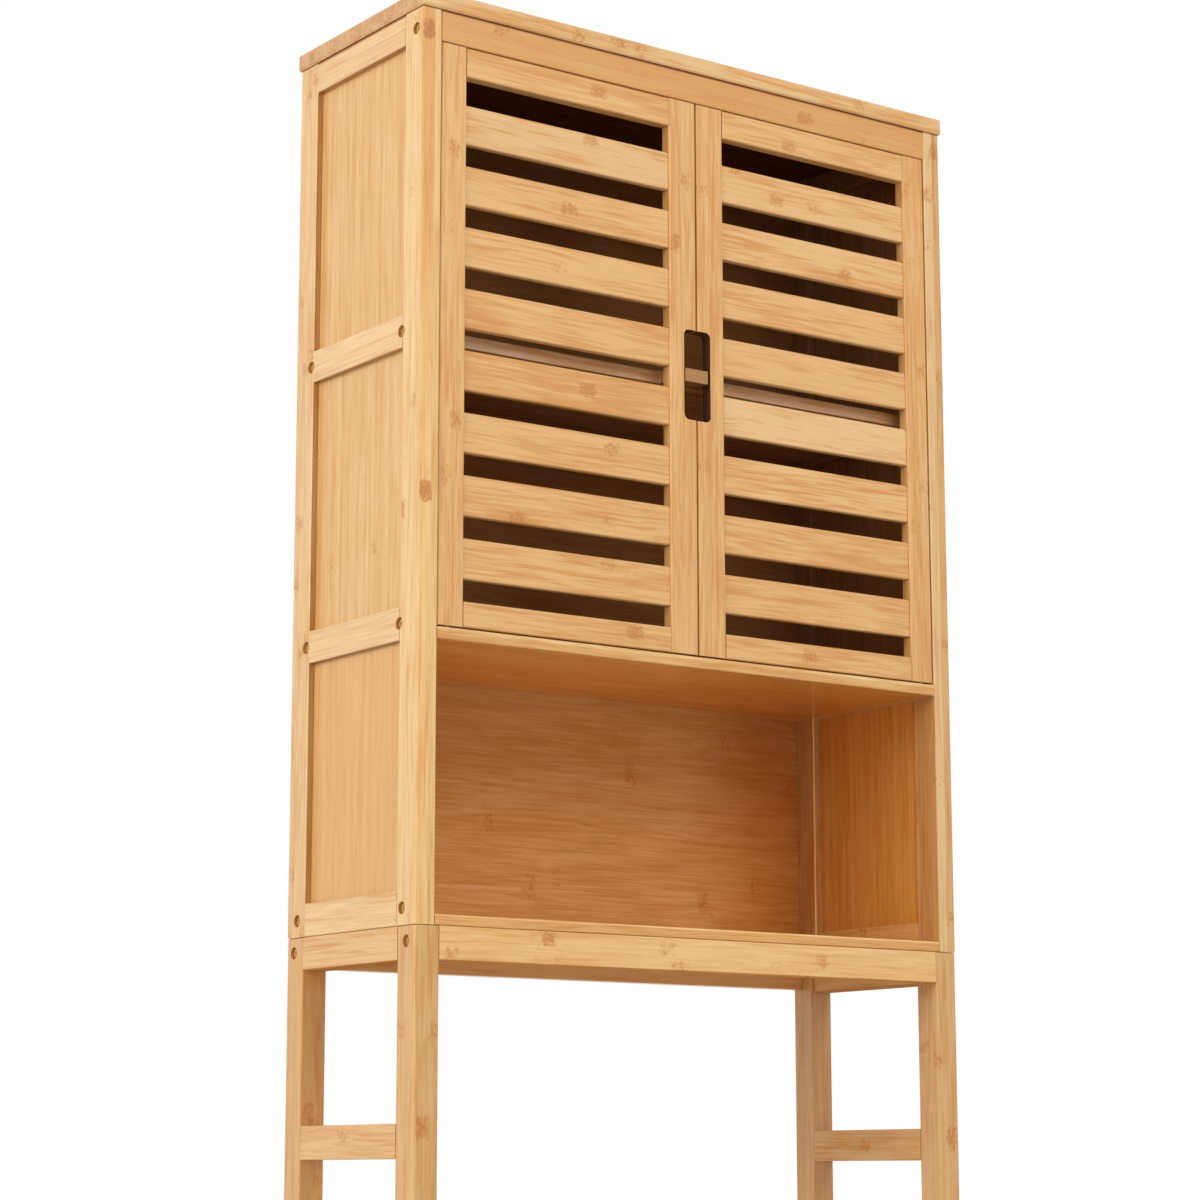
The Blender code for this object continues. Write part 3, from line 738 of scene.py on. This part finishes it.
# the bolts' counterbores
bores = {
    "floor": 0.3060,  # this far from the middle
    "radius": 0.0057,
    "places": (  # to the back and up, on each side
        ("topFront", -0.0964, 1.6100),
        ("upperFront", -0.0760, 1.3310),
        ("upperRear", 0.0815, 1.3310),
        ("lowerFront", -0.0775, 1.0655),
        ("lowerRear", 0.0830, 1.0655),
        ("bottomFront", -0.0864, 0.8153),
        ("bottomRear", 0.0910, 0.8153),
        ("baseFront", -0.0943, 0.7865),
        ("baseRear", 0.0957, 0.7865),
    ),
}

# the cut faces of the finger hole are coloured dark brown, and the counterbores' walls darker for
# their end grain and painted shade
darkCutFaces = {
    "handHole": (0.092, 0.037, 0.017),
    "handHalf": (0.0155, 0.0435),  # half the hole's width and height
    "handCorner": 0.0055,
    "handHeight": 1.3300,
    "handRim": 0.00012,  # a little past its wall
    "bore": (0.46, 0.23, 0.055),
    "boreBelow": 0.0005,  # and a little under a counterbore's floor
}

sides = {  # which axis a side lies on, and whether at its low or its high end
    "left": (0, "low"),
    "right": (0, "high"),
    "front": (1, "low"),
    "rear": (1, "high"),
    "bottom": (2, "low"),
    "top": (2, "high"),
}

grainTurn = {  # turns the grain's direction onto Z
    "x": (0, math.radians(-90), 0),
    "y": (math.radians(90), 0, 0),
    "z": (0, 0, 0),
}


def kindOf(name):
    return next((kind for part, kind in kinds if part in name), None)


def layStrips(tree, place, low, high, cut):
    # moves the pattern so that the first glue lines lie where the cut says
    turn = Euler(grainTurn[cut["grain"]]).to_matrix()
    corners = [turn @ Vector(low), turn @ Vector(high)]
    shift = [0.0, 0.0, cut["along"]]
    for axis in (0, 1):
        shift[axis] = -min(corner[axis] for corner in corners) - cut["first"][axis]
    values = {"Vector": place, "Location": shift, "Rotation": grainTurn[cut["grain"]]}
    return addNode(tree, "ShaderNodeMapping", values, vector_type="POINT").outputs[0]


def placeMarks(name, low):
    # the middle of each of a stick's marks, with its strength
    found = []
    for x, z, strength, *lift in frontMarks.get(name, ()):
        found.append(((x, low[1] - sum(lift), z), strength))
    for y, z, strength in leftMarks.get(name, ()):
        found.append(((low[0], y, z), strength))
    return found


def markNodes(tree, place, found, cut):
    across, along = cut.get("mark", (0.0085, 0.0125))
    scale = [1 / across] * 3
    scale["xyz".index(cut["grain"])] = 1 / along
    near = 0.0
    for middle, strength in found:
        away = calcVector(tree, "MULTIPLY", calcVector(tree, "SUBTRACT", place, middle), scale)
        away = calcVector(tree, "LENGTH", calcVector(tree, "MULTIPLY", away, away))
        patch = calc(tree, "MULTIPLY", calc(tree, "SUBTRACT", 1.0, away), strength)
        near = calc(tree, "MAXIMUM", near, patch)
    return near


def insideHandHole(tree, place):
    # a point is in the hole when it lies within a corner's radius of the plain core
    corner = darkCutFaces["handCorner"]
    core = [half - corner for half in darkCutFaces["handHalf"]]
    away = calcVector(tree, "SUBTRACT", place, (0, 0, darkCutFaces["handHeight"]))
    away = calcVector(tree, "SUBTRACT", calcVector(tree, "ABSOLUTE", away), (core[0], 1, core[1]))
    away = calcVector(tree, "LENGTH", calcVector(tree, "MAXIMUM", away, (0, 0, 0)))
    return calc(tree, "LESS_THAN", away, corner + darkCutFaces["handRim"])


def darkenBores(tree, place, low, high, colour):
    # darkens the counterbores' walls, for their end grain and painted shade
    reach = bores["radius"]
    depth = calc(tree, "ABSOLUTE", separate(tree, place)[0])
    deep = calc(tree, "GREATER_THAN", depth, bores["floor"] - darkCutFaces["boreBelow"])
    for _, y, z in bores["places"]:
        if low[1] - reach < y < high[1] + reach and low[2] - reach < z < high[2] + reach:
            flat = calcVector(tree, "SUBTRACT", place, (0, y, z))
            flat = calcVector(tree, "MULTIPLY", flat, (0, 1, 1))
            inside = calc(tree, "LESS_THAN", calcVector(tree, "LENGTH", flat), reach)
            inside = calc(tree, "MULTIPLY", inside, deep)
            colour = tint(tree, inside, colour, (*darkCutFaces["bore"], 1))
    return colour


def insideBox(tree, place, low, high):
    middle = (Vector(low) + Vector(high)) / 2
    away = calcVector(tree, "ABSOLUTE", calcVector(tree, "SUBTRACT", place, middle))
    out = separate(tree, calcVector(tree, "SUBTRACT", away, Vector(high) - middle))
    furthest = calc(tree, "MAXIMUM", calc(tree, "MAXIMUM", out[0], out[1]), out[2])
    return calc(tree, "LESS_THAN", furthest, 0.0)


def comeIn(tree, place, inside, start, axis, length):
    # lets a box's effect come in slowly along one axis
    axis = "xyz".index(axis)
    along = separate(tree, place)[axis]
    return calc(tree, "MULTIPLY", inside, fade(tree, along, start[axis], start[axis] + length))


def overlaps(low, high, start, end):
    return all(low[axis] < end[axis] and high[axis] > start[axis] for axis in range(3))


def patchBox(low, high, patch):
    # the part of a stick's box that is within the patch's distances of its sides
    margin = 0.001
    start = [edge - margin for edge in low]
    end = [edge + margin for edge in high]
    for side, (axis, sideEnd) in sides.items():
        if side in patch and sideEnd == "low":
            end[axis] = low[axis] + patch[side]
        elif side in patch:
            start[axis] = high[axis] - patch[side]
    return start, end


def shadePatches(tree, place, name, colour):
    # the strips' tones, and painted shade and painted highlights
    low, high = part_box(name)
    for patch in patches.get(name, ()):
        start, end = patchBox(low, high, patch)
        inside = insideBox(tree, place, start, end)
        if "over" in patch:
            inside = comeIn(tree, place, inside, start, *patch["over"])
        colour = tint(tree, inside, colour, (*patch["shade"], 1), "MULTIPLY")
    return colour


def shadeInsides(tree, place, name, colour):
    # doors and legs have no insides; says too where the stick is bare of lacquer, if anywhere
    low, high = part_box(name)
    bare = None
    if "door" in name or "leg" in name:
        return colour, bare
    # the insides' painted shade
    for space, (start, end) in spaces.items():
        if overlaps(low, high, start, end):
            look = insides[space]
            inside = insideBox(tree, place, start, end)
            if "deep" in look:
                inside = comeIn(tree, place, inside, start, "y", look["deep"])
            colour = tint(tree, inside, colour, (*look["shade"], 1), "MULTIPLY")
            bare = inside if bare is None else calc(tree, "MAXIMUM", bare, inside)
    return colour, bare


def bambooMaterial(name, cut, laminate):
    low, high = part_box(name)
    material = bpy.data.materials.new("bamboo_" + name)
    material.use_nodes = True
    tree = material.node_tree
    place = addNode(tree, "ShaderNodeTexCoord").outputs["Object"]
    values = {
        "Vector": layStrips(tree, place, low, high, cut),
        "Strip X": cut["strip"][0],
        "Strip Y": cut["strip"][1],
        "Seed": cut["seed"],
        "Warmth": cut.get("warmth", 0.0),
        "Contrast": cut.get("contrast", 0.30),
        "Streaks": cut.get("streaks", 1.0),
        "Node Spacing": cut.get("spacing", 0.27),
        "Node Strength": cut.get("nodes", 0.5),
        "Marks": markNodes(tree, place, placeMarks(name, low), cut),
    }
    for tone in ("pale", "warm", "flame", "node"):
        values[tone.capitalize()] = (*cut.get(tone, bamboo[tone]), 1)
    grain = addNode(tree, "ShaderNodeGroup", values, node_tree=laminate).outputs
    colour = shadePatches(tree, place, name, grain["Color"])
    colour, bare = shadeInsides(tree, place, name, colour)
    if "meeting_stile" in name:
        bare = insideHandHole(tree, place)
        colour = tint(tree, bare, colour, (*darkCutFaces["handHole"], 1))
    if max(abs(low[0]), abs(high[0])) > bores["floor"] and name != "top_board":
        colour = darkenBores(tree, place, low, high, colour)
    relief = {
        "Height": grain["Height"],
        "Strength": bamboo["bump"],
        "Distance": bamboo["bumpDepth"],
    }
    look = {
        "Base Color": colour,
        "Roughness": grain["Roughness"],
        "Normal": addNode(tree, "ShaderNodeBump", relief).outputs[0],
        "Specular IOR Level": bamboo["underLacquer"],
        "Coat Weight": bamboo["lacquer"],
        "Coat Roughness": bamboo["lacquerRoughness"],
    }
    if bare is not None:
        lacquered = calc(tree, "SUBTRACT", 1.0, bare)
        for socket in ("Specular IOR Level", "Coat Weight"):
            look[socket] = calc(tree, "MULTIPLY", lacquered, look[socket])
    for socket, value in look.items():
        feed(tree, tree.nodes["Principled BSDF"].inputs[socket], value)
    return material


# the metals of the pins and the bolts, with their darker blotches and fine scratches
metals = {
    "pinSteel": {
        "colour": (0.56, 0.55, 0.53),
        "blotch": (0.40, 0.38, 0.35),
        "roughness": 0.34,
        "metallic": 1.0,
    },
    "bronzePlate": {
        "colour": (0.80, 0.50, 0.20),
        "blotch": (0.55, 0.30, 0.10),
        "roughness": 0.42,
        "metallic": 0.45,
    },
}

metalWear = {
    "blotchScale": 420,
    "blotchEdge": (0.35, 0.7),
    "scratchScale": 2600,
    "scratchRange": (0.3, 0.7),
    "polished": -0.06,  # what the scratches add to the roughness
    "scratched": 0.10,
}


def metalMaterial(name):
    metal = metals[name]
    material = bpy.data.materials.new(name)
    material.use_nodes = True
    tree = material.node_tree
    place = addNode(tree, "ShaderNodeTexCoord").outputs["Object"]
    blotches = noise(tree, place, metalWear["blotchScale"], detail=3.0, roughness=0.6)
    blotches = fade(tree, blotches, *metalWear["blotchEdge"])
    scratches = noise(tree, place, metalWear["scratchScale"], detail=1.0)
    least = metal["roughness"] + metalWear["polished"]
    most = metal["roughness"] + metalWear["scratched"]
    look = {
        "Base Color": tint(tree, blotches, (*metal["colour"], 1), (*metal["blotch"], 1)),
        "Roughness": fade(tree, scratches, *metalWear["scratchRange"], least, most),
        "Metallic": metal["metallic"],
    }
    for socket, value in look.items():
        feed(tree, tree.nodes["Principled BSDF"].inputs[socket], value)
    return material


# sanded edges
sanding = {"merge": 0.00002, "width": 0.00025, "steps": 2, "sharpAbove": 28}


def sandEdges(node):
    weld = node.modifiers.new("weld", "WELD")
    weld.merge_threshold = sanding["merge"]
    ease = node.modifiers.new("ease", "BEVEL")
    ease.width = sanding["width"]
    ease.segments = sanding["steps"]
    ease.limit_method = "ANGLE"
    ease.angle_limit = math.radians(sanding["sharpAbove"])


def dressNodes():
    laminate = bambooGroup()
    steel = metalMaterial("pinSteel")
    for number, (name, node) in enumerate(sorted(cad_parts.items())):
        kind = kindOf(name)
        material = steel
        if kind:
            along = random.Random(name).uniform(0, bamboo["slide"])
            cut = {"seed": number * bamboo["seedStep"], "along": along}
            cut.update(cuts[kind])
            cut.update(picked.get(name, {}))
            material = bambooMaterial(name, cut, laminate)
            sandEdges(node)
        for slot in node.material_slots:
            slot.material = material


dressNodes()
print("nodes dressed")


bolt = {
    "sides": 36,
    "radius": 0.0050,
    "height": 0.0010,
    "rim": 0.0005,
    "flat": 0.0015,  # from the rim to the flat top
    "dome": 0.0002,
    "socketRadius": 0.0021,
    "socketDepth": 0.0008,
}


def modelBolt():
    # one bolt head on the origin, facing up
    bpy.ops.object.select_all(action="DESELECT")
    bpy.ops.mesh.primitive_cylinder_add(
        vertices=bolt["sides"],
        radius=bolt["radius"],
        depth=bolt["height"],
        location=(0, 0, bolt["height"] / 2),
    )
    head = bpy.context.object
    bpy.ops.object.transform_apply(location=True, rotation=True, scale=True)
    bpy.ops.object.mode_set(mode="EDIT")
    bpy.ops.mesh.select_mode(type="FACE")
    bpy.ops.mesh.select_all(action="DESELECT")
    shape = bmesh.from_edit_mesh(head.data)
    for part in shape.faces:
        part.select_set(part.normal.z > 0.9)
    bmesh.update_edit_mesh(head.data)
    bpy.ops.mesh.inset(thickness=bolt["rim"])
    bpy.ops.transform.translate(value=(0, 0, bolt["dome"]))
    bpy.ops.mesh.inset(thickness=bolt["flat"])
    bpy.ops.transform.translate(value=(0, 0, bolt["dome"] / 2))
    bpy.ops.object.mode_set(mode="OBJECT")

    # the socket for a hexagon key
    bpy.ops.object.select_all(action="DESELECT")
    top = bolt["height"] + bolt["dome"] * 1.5
    bpy.ops.mesh.primitive_cylinder_add(
        vertices=6,
        radius=bolt["socketRadius"],
        depth=bolt["socketDepth"] * 2,
        location=(0, 0, top),
    )
    key = bpy.context.object
    cut = head.modifiers.new("socket", "BOOLEAN")
    cut.operation = "DIFFERENCE"
    cut.object = key
    bpy.ops.object.select_all(action="DESELECT")
    head.select_set(True)
    bpy.context.view_layer.objects.active = head
    bpy.ops.object.modifier_apply(modifier="socket")
    bpy.data.objects.remove(key, do_unlink=True)
    return head


def fitBolts():
    bronze = metalMaterial("bronzePlate")
    pattern = modelBolt()
    pattern.data.materials.clear()
    pattern.data.materials.append(bronze)
    for side, sideName in ((-1, "left"), (1, "right")):
        for place, y, z in bores["places"]:
            head = bpy.data.objects.new(f"{sideName}_bolt_{place}", pattern.data.copy())
            bpy.context.collection.objects.link(head)
            facing = Matrix.Rotation(math.radians(90 * side), 4, "Y")
            head.data.transform(Matrix.Translation((side * bores["floor"], y, z)) @ facing)
            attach(head, "cabinet")
    bpy.data.objects.remove(pattern, do_unlink=True)


fitBolts()
print("bolts fitted")
